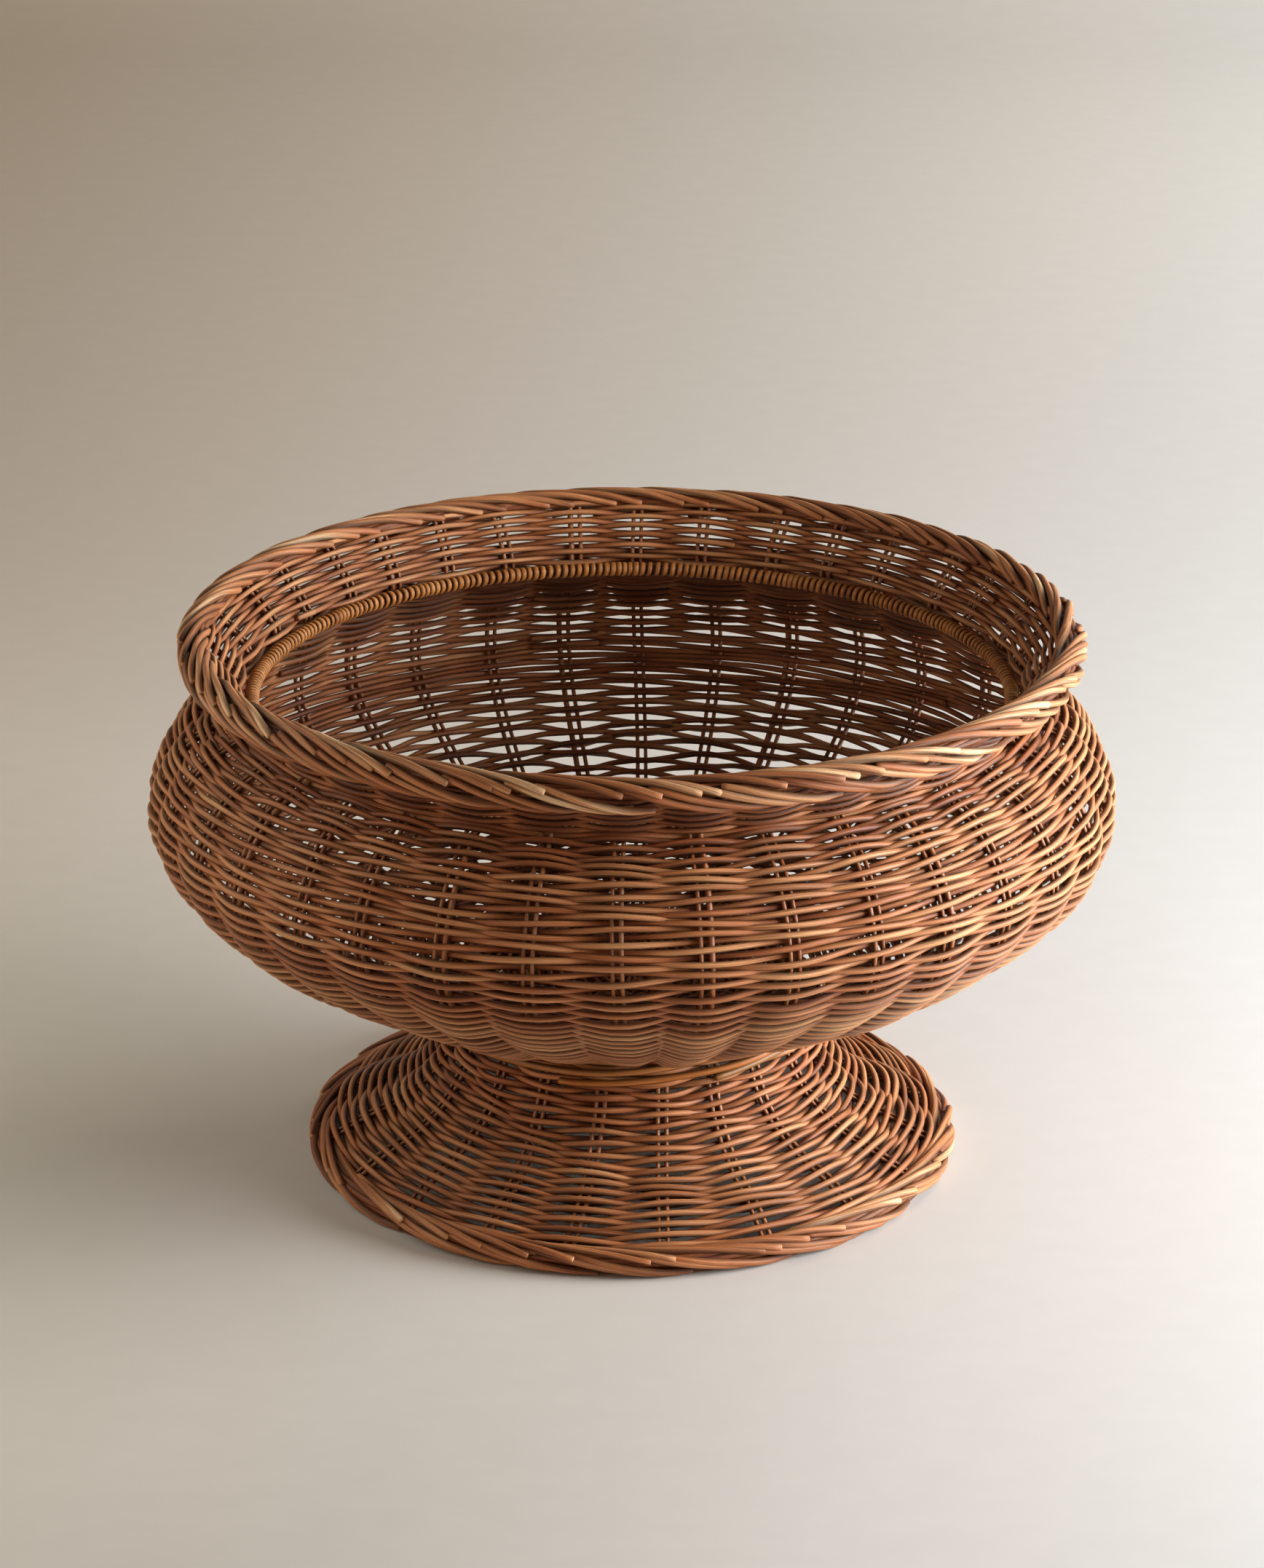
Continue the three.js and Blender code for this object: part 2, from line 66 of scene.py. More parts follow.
# Middle line of the wall, as radius and height, from the base to the rim border
BOWL_LINE = [
    (79, 79.5), (100, 86), (135, 100), (175.5, 122.5), (203, 147), (211.2, 167),
    (208, 184), (196, 203), (182, 212.5), (174.6, 218.5), (176.5, 226), (185.5, 237), (190.5, 243.5),
]
NECK_HEIGHT = 217
RIM_RADIUS = 192.0
RIM_HEIGHT = 243.4
RIM_HALF = (5.9, 4.2)  # half the width and half the height of the section

# Foot
FOOT_STAKES = 20
FOOT_TURN = math.radians(8)
# Middle line of the wall, as radius and height, from the foot border up to the waist
FOOT_LINE = [
    (137.5, 9.5), (122, 18.5), (106.5, 25.5), (95, 34), (86.5, 44), (81, 55), (78.5, 66), (78, 75.5),
]
FOOT_RIM_RADIUS = 140.4
FOOT_RIM_HEIGHT = 6.9
FOOT_RIM_HALF = (4.9, 3.9)
SOLE_RADIUS = 140.5  # of the ring of the strand that lies on the floor
SOLE_HEIGHT = 1.7
SOLE_STRAND_RADIUS = 1.6

# Waist: strands laid slanting round the top of the foot, under the bowl
WAIST_STRANDS = 6
WAIST_STRAND_RADIUS = 1.6
WAIST_RADIUS = 83.6
WAIST_HEIGHT = 64.5
WAIST_RUN = math.radians(150)  # of each strand round the foot
WAIST_RISE = 9.5  # of each strand, from its start to its end

# Base of the bowl
BASE_RADIUS = 82.0
BASE_HEIGHT = 79.5
BASE_RISE = 3.0  # of its middle
BASE_ROWS = np.arange(16.5, 81, 2.62)  # radius of each
BASE_WEAVER_RADIUS = 1.22
BASE_SWING = 2.35  # of a weaver over and under the spokes
SPOKES = 24
SPOKE_RADIUS = 1.3
SPOKE_START, SPOKE_END = 9, 84
STICKS = 6  # each way
STICK_RADIUS = 1.45
STICK_GAP = 3.1
STICK_HALF = 17  # half a stick's length

# Neck hoop and its wrapping
HOOP_RADIUS = 167.7
HOOP_CORE_RADIUS = 2.2
WRAP_TURNS = 325
WRAP_STEPS = 12  # in each turn
WRAP_LEAN = 0.0045  # radians by which the outer side of a turn lies ahead, and its inner side behind
WRAP_KNOTS = 9
KNOT_LIFT = 0.3
CANE_LIFT = 2.62  # from the middle of the hoop to the middle of the cane
CANE_RADIUS = 1.3
CANE_FLAT = 0.62


# Curves and places

def unit(vectors):
    """The vectors at a length of 1."""
    return vectors / np.maximum(np.linalg.norm(vectors, axis=1), 1e-9)[:, None]


def turned(radius, azimuth, height):
    """Points at a radius, an azimuth and a height."""
    parts = (radius * np.cos(azimuth), radius * np.sin(azimuth), height)
    return np.stack(np.broadcast_arrays(*parts), axis=-1)


def circle(count):
    """Azimuths all round."""
    return np.arange(count) * TAU / count


def lengths_along(points):
    """The length along a line at each of its points."""
    return np.concatenate([[0], np.cumsum(np.linalg.norm(np.diff(points, axis=0), axis=1))])


def blend(t, low, high, first, last):
    """The first value at low and the last at high."""
    return (high - t) / (high - low) * first + (t - low) / (high - low) * last


def smooth_line(points):
    """A centripetal Catmull-Rom curve through the points, at every millimetre along it."""
    points = np.array(points, float)
    points = np.vstack([2 * points[0] - points[1], points, 2 * points[-1] - points[-2]])
    stretches = []
    for first in range(len(points) - 3):
        four = points[first : first + 4]
        chords = np.linalg.norm(np.diff(four, axis=0), axis=1)
        knots = np.cumsum([0, *np.sqrt(chords)])
        t = np.linspace(knots[1], knots[2], 24, endpoint=False)[:, None]
        three = [blend(t, knots[k], knots[k + 1], four[k], four[k + 1]) for k in range(3)]
        two = [blend(t, knots[k], knots[k + 2], three[k], three[k + 1]) for k in range(2)]
        stretches.append(blend(t, knots[1], knots[2], *two))
    line = np.vstack([*stretches, points[-2:-1]])
    along = lengths_along(line)
    even = np.arange(0, along[-1], 1.0)
    return np.column_stack([np.interp(even, along, line[:, k]) for k in range(2)])


def smooth_step(value, low, high):
    """0 up to low, 1 from high on, and smooth between."""
    x = np.clip((value - low) / (high - low), 0, 1)
    return x * x * (3 - 2 * x)


def ripple(count, amount):
    """A smooth random curve over an azimuth, the same at 0 and 360 degrees. The count is that of
    its slowest wave."""
    counts = count + np.arange(3)
    phases = rng.uniform(0, TAU, len(counts))
    sizes = rng.normal(0, amount / math.sqrt(len(counts)), len(counts))
    waves = list(zip(sizes, counts, phases))
    return lambda azimuth: sum(size * np.cos(n * azimuth + phase) for size, n, phase in waves)


def wander(length_scale, amount):
    """A smooth random curve over a length."""
    rates = TAU / (length_scale * rng.uniform(0.6, 3.2, 7))
    phases = rng.uniform(0, TAU, len(rates))
    sizes = rng.normal(0, amount / math.sqrt(len(rates)), len(rates))
    waves = list(zip(sizes, rates, phases))
    return lambda length: sum(size * np.sin(rate * length + phase) for size, rate, phase in waves)


def random_shade(middle, spread, low=0, high=1):
    return float(np.clip(rng.normal(middle, spread), low, high))


class Wall:
    """A wall of turning. A place on it is a length along its middle line."""

    LEAN, BOW, SHIFT = 1.2, 0.35, 0.2  # shares of a stake's three random angles
    STRAY = (45, 0.16)  # of a stake in and out: over what length, and how far

    def __init__(self, points, turn, stakes, stray_degrees):
        self.line = smooth_line(points)
        self.along = np.arange(len(self.line), dtype=float)
        self.length = self.along[-1]
        tangent = unit(np.gradient(self.line, axis=0))
        self.normal = np.column_stack([tangent[:, 1], -tangent[:, 0]])
        self.turn, self.stakes = turn, stakes
        self.angles = rng.normal(0, math.radians(stray_degrees), (stakes, 3))

    def at(self, place, values):
        """The value there of a list with one for each millimetre of the line."""
        return np.interp(place, self.along, values)

    def radius(self, place):
        return self.at(place, self.line[:, 0])

    def height_place(self, height):
        """The place where the line first reaches a height."""
        return float(self.along[np.argmax(self.line[:, 1] >= height)])

    def point(self, place, azimuth, out):
        """A point at a distance out from the middle line. Past its end the wall goes straight up."""
        r = self.radius(place) + self.at(place, self.normal[:, 0]) * out
        z = self.at(place, self.line[:, 1]) + self.at(place, self.normal[:, 1]) * out
        return turned(r, azimuth, z + np.maximum(place - self.length, 0))

    def outward(self, place, azimuth):
        return turned(self.at(place, self.normal[:, 0]), azimuth, self.at(place, self.normal[:, 1]))

    def stake_azimuth(self, index, place):
        """Azimuth of a stake's middle, with its own slight lean and bow."""
        share = np.clip(place / self.length, 0, 1)
        angles = self.angles[index % self.stakes]
        lean = angles[..., 0] * (share - 0.5) * self.LEAN
        bow = angles[..., 1] * self.BOW * np.sin(share * TAU)
        shift = angles[..., 2] * self.SHIFT
        return FRONT + self.turn + index * TAU / self.stakes + (lean + bow + shift)

    def stake(self, index, sideways, low, high, steps):
        """A rod that follows the wall at one stake: its points, and the way out at each."""
        place = np.linspace(low, high, steps)
        azimuth = self.stake_azimuth(np.full(steps, index), place) + sideways / self.radius(place)
        stray = wander(*self.STRAY)(place)
        return self.point(place, azimuth, stray), self.outward(place, azimuth)


class Strands:
    """Gathers tubes and writes them as one mesh. The mesh has the attributes "grain", a place
    along and across a strand as if it were straight, "shade" and "hue", the strand's colour, and
    "crest", which is 1 where the strand faces out, a little less where it faces in, and low
    toward its neighbours. The shade holds painted light and shade as well, and the material
    paints shade where the crest is low."""

    TIP_LENGTH = 0.3  # of a rounded end, as a share of the strand's radius
    TIP_RADIUS = 0.75
    CUT_SHADE = 0.92  # of the pith that shows at a blunt end
    INNER_CREST = 0.9
    GRAIN_RANGE = 900

    def __init__(self):
        self.points, self.grain, self.quads, self.caps = [], [], [], []
        self.values = {"shade": [], "hue": [], "crest": []}
        self.count = 0

    def add(self, points, radius, outward, shade, sides=8, closed=False, flat=1.0, cut=False):
        """One tube along the points. Its flat side, if it has one, and its crest look outward."""
        rings = len(points)
        radius = np.broadcast_to(radius, rings)
        shade = np.broadcast_to(shade, rings)
        if closed:
            tangent = unit(np.roll(points, -1, axis=0) - np.roll(points, 1, axis=0))
        else:
            tangent = unit(np.gradient(points, axis=0))
        side = unit(np.cross(tangent, np.broadcast_to(outward, points.shape)))
        up = np.cross(side, tangent)
        along = lengths_along(points)
        if not closed:
            # A rounded end: one more ring, smaller and further on, at each end
            tip = radius[0] * self.TIP_LENGTH
            points = np.vstack([points[0] - tangent[0] * tip, points, points[-1] + tangent[-1] * tip])
            radius = np.concatenate([[radius[0] * self.TIP_RADIUS], radius, [radius[-1] * self.TIP_RADIUS]])
            shade = np.concatenate([shade[:1], shade, [self.CUT_SHADE if cut else shade[-1]]])
            up, side = (np.vstack([v[:1], v, v[-1:]]) for v in (up, side))
            along = np.concatenate([[along[0] - tip], along, [along[-1] + tip]])
            rings += 2
        angle = circle(sides) + math.pi / sides
        across, sideways = np.cos(angle), np.sin(angle)
        surface = (
            points[:, None, :]
            + up[:, None, :] * (radius[:, None] * across * flat)[..., None]
            + side[:, None, :] * (radius[:, None] * sideways)[..., None]
        )
        # Each strand takes its grain from a part of the noise of its own
        seed = rng.uniform(0, self.GRAIN_RANGE)
        grain = np.empty((rings, sides, 3))
        grain[..., 0] = along[:, None] + seed * 7
        grain[..., 1] = radius[:, None] * across + seed
        grain[..., 2] = radius[:, None] * sideways
        crest = np.maximum(across, -self.INNER_CREST * across)
        self.points.append(surface.reshape(-1, 3))
        self.grain.append(grain.reshape(-1, 3))
        self.values["shade"].append(np.repeat(shade, sides))
        self.values["hue"].append(np.full(rings * sides, rng.uniform(0, 1)))
        self.values["crest"].append(np.tile(crest, rings))
        self.add_faces(rings, sides, closed)

    def add_faces(self, rings, sides, closed):
        """Faces between the rings, and a cap on each end of an open tube. All look outward."""
        ring = np.arange(rings if closed else rings - 1)[:, None]
        here = ring * sides
        after = (ring + 1) % rings * sides
        corner = np.arange(sides)
        turned_on = (corner + 1) % sides
        quads = np.stack([after + corner, after + turned_on, here + turned_on, here + corner], axis=-1)
        self.quads.append(quads.reshape(-1, 4) + self.count)
        if not closed:
            self.caps.append(corner + self.count)
            self.caps.append(corner[::-1] + self.count + (rings - 1) * sides)
        self.count += rings * sides

    def build(self, name, material, nodes, slot):
        """Writes the mesh as a piece that is seen in place of the nodes."""
        points = np.vstack(self.points).astype(np.float32) * MM
        quads = np.vstack(self.quads)
        corners = np.concatenate([quads.ravel(), *self.caps]).astype(np.int32)
        totals = np.concatenate([np.full(len(quads), 4), [len(cap) for cap in self.caps]]).astype(np.int32)
        starts = np.concatenate([[0], np.cumsum(totals)[:-1]]).astype(np.int32)
        mesh = bpy.data.meshes.new(name)
        mesh.vertices.add(len(points))
        mesh.vertices.foreach_set("co", points.ravel())
        mesh.loops.add(len(corners))
        mesh.loops.foreach_set("vertex_index", corners)
        mesh.polygons.add(len(totals))
        mesh.polygons.foreach_set("loop_start", starts)
        mesh.polygons.foreach_set("loop_total", totals)
        mesh.polygons.foreach_set("use_smooth", np.ones(len(totals), bool))
        grain = mesh.attributes.new("grain", "FLOAT_VECTOR", "POINT")
        grain.data.foreach_set("vector", np.vstack(self.grain).astype(np.float32).ravel())
        for key, values in self.values.items():
            attribute = mesh.attributes.new(key, "FLOAT", "POINT")
            attribute.data.foreach_set("value", np.concatenate(values).astype(np.float32))
        mesh.update(calc_edges=True)
        mesh.materials.append(material)
        piece = bpy.data.objects.new(name, mesh)
        bpy.context.scene.collection.objects.link(piece)
        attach(piece, "root")
        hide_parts(*nodes)


class Weave:
    """The weavers of one wall: two spirals, one before the even stakes and one before the odd."""

    POINTS = 9  # of a weaver from one stake to the next
    TURNS = (0.8, 2.1)  # round the wall, of the shortest and the longest weaver
    UNEVEN = 0.04  # spread of the weavers' thickness, as a share of it
    FLAT = 0.95
    ROOM = 0.4  # between a stake and the bend of a weaver
    PAST = 0.45  # from a weaver's last stake to its end, as a share of the way to the next stake
    TUCK = 1.9  # how far its end is pushed in
    TUCK_RUN = 0.7  # the length of that, as a share of the way between stakes
    STEP = 0.5  # along the wall, for counting its rows
    BEYOND = 8  # past the first and the last row, counted too
    LEVEL_RUN = 6  # along the wall, over which the first and last rows grow level
    SEAT = 0.42  # how far a stake sets its rows high or low
    SEAT_STRETCH = 14  # along the wall, over which it sets them alike
    SWAY_COUNTS = (1, 4, 9)  # how often the rows rise and fall in a turn

    # Each weaver's own wandering: over what length, and how far
    STRAY = (60, 0.11)
    SHORT_STRAY = (20, 0.05)
    STRAY_OUT = (60, 0.14)
    STRAY_THICK = (140, 0.05)
    STRAY_SHADE = (220, 0.08)

    def __init__(self, wall, lowest, highest, pitch, sway, weaver):
        self.wall, self.lowest, self.highest, self.weaver = wall, lowest, highest, weaver
        self.sway = [ripple(count, sway) for count in self.SWAY_COUNTS]
        self.sway_rates = rng.uniform(0.01, 0.035, len(self.SWAY_COUNTS))
        self.places = np.arange(lowest - self.BEYOND, highest + self.BEYOND, self.STEP)
        counted = np.cumsum(self.STEP / np.interp(self.places, *zip(*pitch)))
        self.rows = counted - np.interp(lowest, self.places, counted)
        self.total = float(np.interp(highest, self.places, self.rows))
        stretches = len(self.places) // int(self.SEAT_STRETCH / self.STEP) + 3
        self.seats = rng.normal(0, self.SEAT, (wall.stakes, stretches))

    # What a wall can have of its own

    def lift(self, place, index, part):
        """How far a row lies above its even place, part of the way from a stake to the next."""
        return 0 * place

    def bulge(self, place, index):
        """How much further out a row stands before a stake."""
        return 0 * place

    def tone(self, place, swing):
        """Painted light and shade: paler where the weaver stands out before a stake, darker where it goes in
        behind one.
        """
        return np.where(swing > 0, 0.14, 0.36) * swing

    def slim(self, place):
        """The thickness there, as a share of the weaver's."""
        return 0 * place + 1

    def seat(self, place, index):
        """How high or low a stake sets its rows at a place."""
        knot = np.clip((place - self.places[0]) / self.SEAT_STRETCH, 0, self.seats.shape[1] - 1.001)
        low = knot.astype(int)
        seats = self.seats[index % self.wall.stakes]
        each = np.arange(len(low))
        return seats[each, low] * (1 - knot + low) + seats[each, low + 1] * (knot - low)

    def swing(self, part, spacing):
        """1 at a stake and -1 at the next, level where the weaver lies on the stake."""
        half = np.clip(((STAKE_GAP + STAKE) / 2 + self.ROOM) / spacing, 0.05, 0.3)
        x = np.clip((part - half) / (1 - 2 * half), 0, 1)
        return 0.5 * np.cos(math.pi * x) + 0.5 * (1 - 2 * x)

    def strand(self, first, last, parity, strands, shade, radius):
        """One weaver. Its ends are given as numbers of stakes along its spiral."""
        wall = self.wall
        stakes = np.arange(round(first * self.POINTS), round(last * self.POINTS) + 1) / self.POINTS
        index = np.floor(stakes + 1e-9).astype(int)
        part = stakes - index
        place = np.interp(2 * stakes / wall.stakes + parity, self.rows, self.places)
        azimuth = wall.stake_azimuth(index, place)
        azimuth = azimuth + (wall.stake_azimuth(index + 1, place) - azimuth) * part
        spacing = wall.radius(place) * TAU / wall.stakes
        length = stakes * spacing
        swing = np.where((index + parity) % 2 == 0, 1.0, -1.0) * self.swing(part, spacing)
        bulge = self.bulge(place, index) * (1 - part) + self.bulge(place, index + 1) * part
        out = swing * (STAKE + self.weaver) / 2 + np.clip(swing, 0, 1) * bulge
        # The rows wander less near the wall's two ends
        run = self.LEVEL_RUN
        level = np.clip(self.highest - place, 0, run) / run * np.clip(place - self.lowest, 0, run) / run
        sway = sum(wave(azimuth + place * rate) for wave, rate in zip(self.sway, self.sway_rates))
        seat = self.seat(place, index) * (1 - part) + self.seat(place, index + 1) * part
        stray = wander(*self.STRAY)(length) + wander(*self.SHORT_STRAY)(length)
        place = place + level * (sway + seat + stray + self.lift(place, index, part))
        out = out + wander(*self.STRAY_OUT)(length)
        # The ends lie against the inside of a stake, pushed in past the strand that goes on
        from_end = np.minimum(stakes - first, last - stakes)
        out = out - np.clip(1 - from_end / self.TUCK_RUN, 0, 1) * self.TUCK
        # What would lie below the first row or above the last is left out
        keep = (place > self.lowest - 1) & (place < self.highest + 1.5)
        if keep.sum() < 4:
            return
        place, azimuth, out, swing, length = (v[keep] for v in (place, azimuth, out, swing, length))
        radius = radius * self.slim(place) * (1 + wander(*self.STRAY_THICK)(length))
        # Painted light and shade from how far the weaver stands out or goes in, added to its shade
        shade = np.clip(shade + wander(*self.STRAY_SHADE)(length) + self.tone(place, swing), 0, 1)
        outward = wall.outward(place, azimuth)
        strands.add(wall.point(place, azimuth, out), radius, outward, shade, flat=self.FLAT)

    def weave(self, bands, shades, longer=1.0):
        """Lays all the weavers, and gives them as one Strands for each of the bands, which lie one
        above another. Shades is called for each weaver's shade, and longer lengthens them all."""
        around = self.wall.stakes
        total = self.total / 2 * around
        edges = np.linspace(0, total, bands + 1)
        banded = [Strands() for _ in range(bands)]
        for parity in (0, 1):
            start = -around - 2 * int(rng.uniform(0, around / 2)) + 1 - parity
            while start < total:
                length = int(rng.uniform(*self.TURNS) * around * longer)
                end = start + length + (length % 2)
                middle = (max(start, 0) + min(end, total)) / 2
                band = banded[int(np.clip(np.searchsorted(edges, middle) - 1, 0, bands - 1))]
                radius = self.weaver / 2 * rng.normal(1, self.UNEVEN)
                self.strand(start - self.PAST, end + self.PAST, parity, band, shades(), radius)
                start = end
        return banded


# Materials

class Shader:
    """Adds nodes to a tree. A value is a number, a colour or another node's output."""

    def __init__(self, tree):
        self.nodes, self.links = tree.nodes, tree.links

    def node(self, kind, values, **settings):
        """A node with its settings, and with values for its sockets by name or number."""
        made = self.nodes.new(kind)
        for key, value in settings.items():
            setattr(made, key, value)
        self.fill(made, values)
        return made

    def fill(self, node, values):
        """Sets or links the node's sockets."""
        for key, value in values.items():
            if isinstance(value, bpy.types.NodeSocket):
                self.links.new(value, node.inputs[key])
            else:
                node.inputs[key].default_value = value

    def attribute(self, name, output="Fac"):
        return self.node("ShaderNodeAttribute", {}, attribute_name=name).outputs[output]

    def noise(self, vector, scale, detail, rough):
        """Noise with its own scale each way."""
        place = self.node("ShaderNodeMapping", {"Vector": vector, "Scale": scale}).outputs["Vector"]
        values = {"Vector": place, "Scale": 1.0, "Detail": detail, "Roughness": rough}
        return self.node("ShaderNodeTexNoise", values).outputs["Fac"]

    def spread(self, value, low, high, to_low, to_high, **settings):
        """A value from low to high turned into one from to_low to to_high."""
        values = {"Value": value, "From Min": low, "From Max": high, "To Min": to_low, "To Max": to_high}
        return self.node("ShaderNodeMapRange", values, **settings).outputs["Result"]

    def add(self, value, other):
        return self.node("ShaderNodeMath", {0: value, 1: other}, operation="ADD").outputs["Value"]

    def multiply(self, value, other):
        return self.node("ShaderNodeMath", {0: value, 1: other}, operation="MULTIPLY").outputs["Value"]

    def scale(self, colour, amount):
        values = {0: colour, "Scale": amount}
        return self.node("ShaderNodeVectorMath", values, operation="SCALE").outputs["Vector"]

    def ramp(self, value, stops):
        """Colours at places from 0 to 1."""
        made = self.node("ShaderNodeValToRGB", {"Fac": value})
        elements = made.color_ramp.elements
        while len(elements) < len(stops):
            elements.new(0.5)
        for element, (place, colour) in zip(elements, stops):
            element.position = place
            element.color = (*colour, 1)
        return made.outputs["Color"]

    def axis(self, space, name):
        """X, Y or Z of the place in the object's space, or of the direction in the world."""
        place = self.node("ShaderNodeTexCoord", {}).outputs[space]
        return self.node("ShaderNodeSeparateXYZ", {"Vector": place}).outputs[name]


def new_material(name):
    """A material, its shader and its Principled BSDF."""
    material = bpy.data.materials.new(name)
    material.use_nodes = True
    return material, Shader(material.node_tree), material.node_tree.nodes["Principled BSDF"]


def rattan(name, stops, roughness, gloss, stripe=1.0, bump_depth=0.0003):
    """Rattan: a shade for each strand, long grain lines and pores. The stops are its colours from
    shade 0 to 1, the stripe deepens the grain, and the bump's depth is in metres."""
    material, shader, bsdf = new_material(name)
    # Noises drawn out along the strand, for each millimetre along it and across it
    grain = shader.attribute("grain", "Vector")
    slow = shader.noise(grain, (0.012, 0.25, 0.25), 2.0, 0.55)
    lines = shader.noise(grain, (0.035, 2.6, 2.6), 4.0, 0.62)
    fine = shader.noise(grain, (0.12, 6.5, 6.5), 3.0, 0.6)
    pores = shader.noise(grain, (0.9, 5.0, 5.0), 2.0, 0.5)
    # The strand's colour, a little paler and darker along it
    shade = shader.add(shader.attribute("shade"), shader.spread(slow, 0.3, 0.7, -0.16, 0.16))
    shade = shader.add(shade, shader.spread(lines, 0.3, 0.7, -0.12, 0.12))
    hue = shader.attribute("hue")
    own = {
        "Color": shader.ramp(shade, stops),
        "Hue": shader.spread(hue, 0, 1, 0.493, 0.501),
        "Saturation": shader.spread(hue, 0, 1, 1.08, 1.02),
    }
    colour = shader.node("ShaderNodeHueSaturation", own).outputs["Color"]
    # Darker in the grain and the pores, and painted shade where the strand turns toward its neighbours
    dark = shader.spread(lines, 0.34, 0.6, 0.62, 1.06)
    dark = shader.multiply(dark, shader.spread(fine, 0.3, 0.6, 0.8, 1.06))
    dark = shader.multiply(dark, shader.spread(pores, 0.3, 0.42, 0.72, 1.0))
    # Painted shade between strands, from the crest
    dark = shader.multiply(dark, shader.spread(shader.attribute("crest"), 0.38, 0.9, 0.42, 1.1))
    relief = shader.add(shader.multiply(lines, 0.7 * stripe), shader.multiply(fine, 0.35 * stripe))
    bump = shader.node("ShaderNodeBump", {"Strength": 0.55, "Distance": bump_depth, "Height": relief})
    surface = {
        "Base Color": shader.scale(colour, dark),
        "Roughness": shader.spread(fine, 0.3, 0.7, roughness - 0.08, roughness + 0.12),
        "Specular IOR Level": gloss,
        "Normal": bump.outputs["Normal"],
    }
    shader.fill(bsdf, surface)
    return material


RED_BROWN = (0.15, 0.048, 0.018)
BROWN = (0.28, 0.105, 0.042)
WARM = (0.41, 0.175, 0.075)
HONEY = (0.53, 0.26, 0.12)
STRAW = (0.61, 0.335, 0.16)
CUT = (0.70, 0.48, 0.28)
ORANGE = (0.43, 0.165, 0.045)
GOLD = (0.58, 0.255, 0.075)
OLIVE = (0.25, 0.13, 0.045)

WOVEN_STOPS = [(0.0, RED_BROWN), (0.25, BROWN), (0.55, WARM), (0.8, HONEY), (1.0, STRAW)]
ROD_STOPS = [(0.0, BROWN), (0.4, WARM), (0.75, HONEY), (1.0, STRAW)]
CANE_STOPS = [(0.0, RED_BROWN), (0.3, ORANGE), (0.75, GOLD), (1.0, HONEY)]
PLAIT_STOPS = [(0.0, RED_BROWN), (0.3, BROWN), (0.6, WARM), (0.85, HONEY), (1.0, CUT)]
OLIVE_STOPS = [(0.0, OLIVE), (0.5, ORANGE), (1.0, GOLD)]

woven = rattan("woven_rattan", WOVEN_STOPS, roughness=0.5, gloss=0.35)
rods = rattan("rattan_rod", ROD_STOPS, roughness=0.45, gloss=0.4)
cane = rattan("wrapping_cane", CANE_STOPS, roughness=0.42, gloss=0.45, stripe=1.6, bump_depth=0.0005)
plait = rattan("plaited_rattan", PLAIT_STOPS, roughness=0.5, gloss=0.35, stripe=1.3)
olive = rattan("waist_rattan", OLIVE_STOPS, roughness=0.42, gloss=0.45)


# Bowl and collar

bowl = Wall(BOWL_LINE, STAKES_TURN, STAKES, stray_degrees=1.1)
neck = bowl.height_place(NECK_HEIGHT)


def is_framed(index):
    """Whether a frame rod stands at that stake."""
    return index % FRAMED_EVERY == 1


class BowlWeave(Weave):
    """Under the belly the rows sag and stand out at the stakes, most at the frame rods."""

    SAG, FRAMED_SAG = 0.4, 1.2
    BULGE, FRAMED_BULGE = 0.2, 1.3
    RIM_SHADOW = 0.45

    def lift(self, place, index, part):
        nearest = np.where(part < 0.5, index, index + 1)
        sag = np.where(is_framed(nearest), self.FRAMED_SAG, self.SAG)
        low = smooth_step(place, 6, 34) * (1 - smooth_step(place, 120, 170))
        return -low * sag * np.cos(math.pi * np.minimum(part, 1 - part))

    def bulge(self, place, index):
        return np.where(is_framed(index), self.FRAMED_BULGE, self.BULGE) * (1 - smooth_step(place, 130, 178))

    def tone(self, place, swing):
        """Painted shadow up under the rim as well."""
        shadow = self.RIM_SHADOW * smooth_step(place, neck - 24, neck - 6) * (swing > -0.3)
        return super().tone(place, swing) - shadow

    def slim(self, place):
        """Thinner in the close rows near the base."""
        return np.interp(place, [40, 80], [0.9, 1])


class CollarWeave(Weave):
    """Painted shade under the rim: darker on the outer side, and paler on the inner side, which is the one
    that shows.
    """

    def tone(self, place, swing):
        # Painted shade: the outer side, under the rim, darkest
        return -0.16 - 0.36 * swing


def weaver_shade(middle=0.52):
    return random_shade(middle, 0.12, 0.1, 0.95)


def weave_bowl_and_collar():
    """The bowl's weavers, as four pieces one above another, and the collar's."""
    lower = BowlWeave(bowl, 4.0, neck - 2.2, BOWL_PITCH, sway=0.55, weaver=WEAVER)
    upper = CollarWeave(bowl, neck + 0.2, bowl.length - 0.5, COLLAR_PITCH, sway=0.3, weaver=COLLAR_WEAVER)
    for number, strands in enumerate(lower.weave(4, weaver_shade)):
        strands.build(f"bowl_weave_{number + 1}", woven, ["bowl_weave"], "woven_rattan")
    for strands in upper.weave(1, weaver_shade):
        strands.build("collar_weave_1", woven, ["collar_weave"], "woven_rattan")


def stand_bowl_rods():
    """Two rods at each stake, the second a thicker frame rod at every third."""
    stakes, frame_rods = Strands(), Strands()
    for k in range(STAKES):
        gap = FRAME_GAP if is_framed(k) else STAKE_GAP
        for side in (-1, 1):
            points, outward = bowl.stake(k, side * gap / 2, low=0.5, high=bowl.length + 2, steps=78)
            is_frame_rod = is_framed(k) and side == 1
            thickness = FRAME_ROD if is_frame_rod else STAKE
            radius = thickness / 2 * rng.normal(1, 0.04)
            strands = frame_rods if is_frame_rod else stakes
            strands.add(points, radius, outward, random_shade(0.28, 0.13))
    stakes.build("bowl_stakes", rods, [f"bowl_stake_{k + 1:02d}" for k in range(STAKES)], "rattan_rod")
    frame_rods.build("frame_rods", rods, [f"frame_rod_{k + 1:02d}" for k in range(FRAME_RODS)], "rattan_rod")


# Neck

